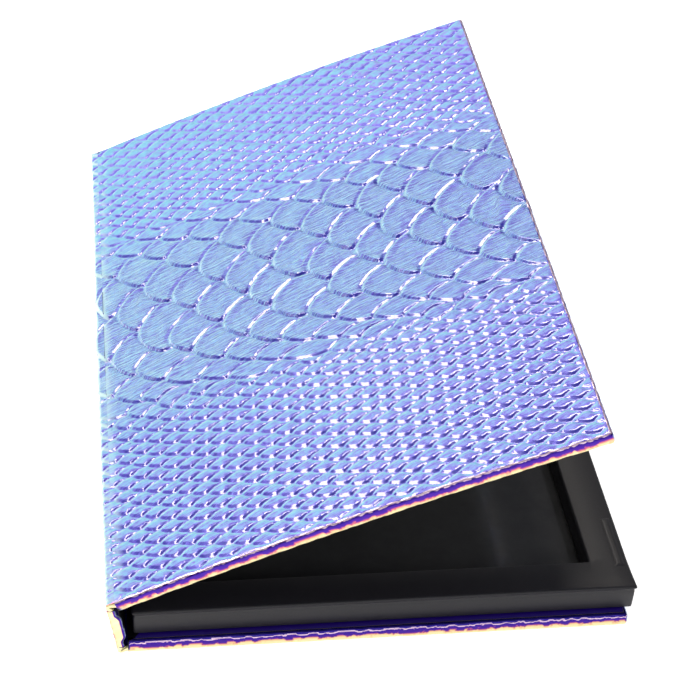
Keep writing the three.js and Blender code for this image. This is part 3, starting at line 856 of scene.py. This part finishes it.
for size, grow in ((tray_size, -PAPER_TURN_IN), (well_size, PAPER_TURN_IN)):
    edit(tray_paper)
    bpy.ops.mesh.select_mode(type="EDGE")
    bpy.ops.object.mode_set(mode="OBJECT")
    mesh = tray_paper.data
    for line in mesh.edges:
        ends = [mesh.vertices[i].co - tray_middle for i in line.vertices]
        line.select = all(abs(end.z + tray_size.z / 2) < 1e-6 and abs(abs(end.x) - size.x / 2) < 1e-6 and
                          abs(abs(end.y) - size.y / 2) < 1e-6 for end in ends)
    bpy.ops.object.mode_set(mode="EDIT")
    bpy.ops.mesh.extrude_region_move()
    bpy.ops.transform.resize(value=(1 + 2 * grow / size.x, 1 + 2 * grow / size.y, 1),
                             center_override=(tray_middle.x, tray_middle.y, tray_low.z))
    bpy.ops.object.mode_set(mode="OBJECT")
apply_modifier(tray_paper, "BEVEL", width=FOLD_SOFTNESS, segments=3, limit_method="ANGLE",
               angle_limit=math.radians(40))
edit(tray_paper)
for axis, length in ((0, tray_size.x), (1, tray_size.y)):
    for cut in range(1, round(length / (5 * MM))):
        where, way = tray_low.copy(), Vector((0, 0, 0))
        where[axis] += cut * 5 * MM
        way[axis] = 1
        bpy.ops.mesh.select_all(action="SELECT")
        bpy.ops.mesh.bisect(plane_co=where, plane_no=way)
for depth in FOLD_CUTS:
    bpy.ops.mesh.select_all(action="SELECT")
    bpy.ops.mesh.bisect(plane_co=(0, 0, tray_high.z - depth), plane_no=(0, 0, 1))
bpy.ops.object.mode_set(mode="OBJECT")

points = points_of(tray_paper)
offset = points - np.array(tray_middle)
half_size = np.array(tray_size) / 2
below = tray_high.z - points[:, 2]
swell = SWELL * (np.exp(-((below - 0.45 * MM) / (0.35 * MM)) ** 2) - np.exp(-((below - 1.3 * MM) / (0.4 * MM)) ** 2))
for axis in (0, 1):
    outside = np.abs(offset[:, axis]) > half_size[axis] - FOLD_SOFTNESS - 0.05 * MM
    points[:, axis] += np.where(outside, np.sign(offset[:, axis]) * swell, 0)
for way_x, way_y, pull in DOG_EARS:
    from_corner = np.hypot(offset[:, 0] - way_x * half_size[0], offset[:, 1] - way_y * half_size[1])
    pulled = pull * np.exp(-(from_corner / (5 * MM)) ** 2) * np.exp(-(below / (2.6 * MM)) ** 2)
    points += pulled[:, None] * np.array([way_x, 0.6 * way_y, 0.3])
set_points(tray_paper, points)
wave = bpy.data.textures.new("paper_wave", "CLOUDS")
wave.noise_scale = 0.035
apply_modifier(tray_paper, "DISPLACE", texture=wave, strength=WAVER, mid_level=0.62, texture_coords="LOCAL")
apply_modifier(tray_paper, "SOLIDIFY", thickness=PAPER, offset=-1)
print("tray_paper:", len(tray_paper.data.polygons), "faces")

# %% Patches over the magnets
PATCH_MARGIN = 0.7 * MM
PATCH_SLOPE = 1.5 * MM
PATCH_ROOT = 0.14 * MM

patches = []
for side in ("near", "far"):
    low, high = (Vector(corner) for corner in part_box("closure_magnet_" + side))
    low, high = low - Vector((PATCH_MARGIN, PATCH_MARGIN, 0)), high + Vector((0, PATCH_MARGIN, 0))
    high.x = tray_high.x - 0.25 * MM
    size, middle = high - low, (low + high) / 2
    middle.z = tray_high.z - PATCH_ROOT
    bpy.ops.object.select_all(action="DESELECT")
    bpy.ops.mesh.primitive_grid_add(x_subdivisions=18, y_subdivisions=60, size=1, location=middle)
    patch = bpy.context.object
    patch.name = "patch_" + side
    patch.scale = (size.x, size.y, 1)
    bpy.ops.object.transform_apply(location=True, rotation=True, scale=True)
    points = points_of(patch)
    inward = (np.array(size)[:2] / 2 - np.abs(points[:, :2] - np.array(middle)[:2])).min(1)
    points[:, 2] += (pad_top - tray_high.z + PATCH_ROOT) * smooth(0, PATCH_SLOPE, inward)
    set_points(patch, points)
    apply_modifier(patch, "SOLIDIFY", thickness=PAPER, offset=-1)
    patches.append(patch)
bpy.ops.object.select_all(action="DESELECT")
for piece in patches + [tray_paper]:
    piece.select_set(True)
bpy.context.view_layer.objects.active = tray_paper
bpy.ops.object.join()
bpy.ops.object.shade_smooth_by_angle(angle=math.radians(50))
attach(tray_paper, "base")
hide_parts("tray_wrap")
print("patches joined:", len(patches))

# %% [markdown]
# The gloss film on the tray's floor is cut to the well, and its edges go right up to the paper. A vinyl film isn't
# quite flat: it waves a little, which bends what it reflects. A grid with a slight displacement gives that.

# %% Gloss film
FILM_WAVE = 0.03 * MM

film_low, film_high = (Vector(corner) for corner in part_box("floor_film"))
well_low = tray_middle - well_size / 2
bpy.ops.object.select_all(action="DESELECT")
bpy.ops.mesh.primitive_grid_add(x_subdivisions=40, y_subdivisions=70, size=1,
                                location=(tray_middle.x, tray_middle.y, film_high.z))
gloss_film = bpy.context.object
gloss_film.name = "gloss_film"
gloss_film.scale = (well_size.x, well_size.y, 1)
bpy.ops.object.transform_apply(location=True, rotation=True, scale=True)
ripple = bpy.data.textures.new("film_ripple", "CLOUDS")
ripple.noise_scale = 0.03
apply_modifier(gloss_film, "DISPLACE", texture=ripple, strength=FILM_WAVE, mid_level=1.0, texture_coords="LOCAL")
apply_modifier(gloss_film, "SOLIDIFY", thickness=film_high.z - film_low.z - FILM_WAVE, offset=-1)
bpy.ops.object.shade_smooth_by_angle(angle=math.radians(50))
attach(gloss_film, "base")
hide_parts("floor_film")
print("gloss_film:", len(gloss_film.data.polygons), "faces")

# %% [markdown]
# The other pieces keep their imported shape: boards, lining papers, film, magnetic sheet, magnets and keepers. Most
# are hidden, but each gets the finish of the real thing, because the lid and the spine open.

# %% Papers and boards
def mottled(name, colours, size, roughness, depth, stretch=(1, 1, 1)):
    """A finish of two colours mixed in grains of a size, with a bump of a depth."""
    material, tree, shader = new_material(name)
    place = add(tree, "ShaderNodeTexCoord").outputs["Object"]
    place = add(tree, "ShaderNodeMapping", {"vector_type": "POINT"}, Vector=place, Scale=stretch).outputs[0]
    grain = add(tree, "ShaderNodeTexNoise", Vector=place, Scale=1 / size, Detail=4.0, Roughness=0.65).outputs["Fac"]
    tree.links.new(ramp(tree, grain, [(0.35, colours[0]), (0.65, colours[1])]), shader.inputs["Base Color"])
    rough = add(tree, "ShaderNodeMapRange", i0=grain, i1=0.3, i2=0.7, i3=roughness - 0.06, i4=roughness + 0.06)
    tree.links.new(rough.outputs[0], shader.inputs["Roughness"])
    bump = add(tree, "ShaderNodeBump", Strength=1.0, Distance=depth, Height=grain)
    tree.links.new(bump.outputs[0], shader.inputs["Normal"])
    return material, tree, shader


paper, _, _ = mottled("black_covering_paper", ("#222126", "#2a292f"), 0.5 * MM, 0.46, 0.02 * MM)
board, _, _ = mottled("greyboard", ("#82796c", "#9a9184"), 0.8 * MM, 0.95, 0.08 * MM)
film, _, film_shader = mottled("gloss_vinyl_film", ("#3f3f40", "#444445"), 6 * MM, 0.15, 0.01 * MM)
ferrite, _, _ = mottled("rubber_magnet_sheet", ("#262322", "#302c2a"), 0.4 * MM, 0.7, 0.03 * MM)
nickel, _, nickel_shader = mottled("nickel_plate", ("#bdb7aa", "#c8c2b4"), 1.2 * MM, 0.24, 0.005 * MM)
steel, _, steel_shader = mottled("rolled_steel", ("#85888c", "#9a9da1"), 0.6 * MM, 0.42, 0.01 * MM, (1, 0.05, 1))
for shader in (nickel_shader, steel_shader):
    shader.inputs["Metallic"].default_value = 1.0
film_shader.inputs["IOR"].default_value = 1.53

dress(tray_paper, paper)
dress(gloss_film, film)
for fold in (upper_fold, lower_fold):
    fold.data.materials.append(paper)
for node, material in {"spine_lining": paper, "lid_lining": paper, "magnetic_sheet": ferrite,
                       "closure_magnet_near": nickel, "closure_magnet_far": nickel, "lid_keeper_near": steel,
                       "lid_keeper_far": steel, "lid_board": board, "spine_board": board, "base_board": board,
                       "tray_frame_1": board, "tray_frame_2": board, "tray_frame_3": board}.items():
    dress(frame["nodes"][node], material)
print("pieces dressed:", len(frame["nodes"]))
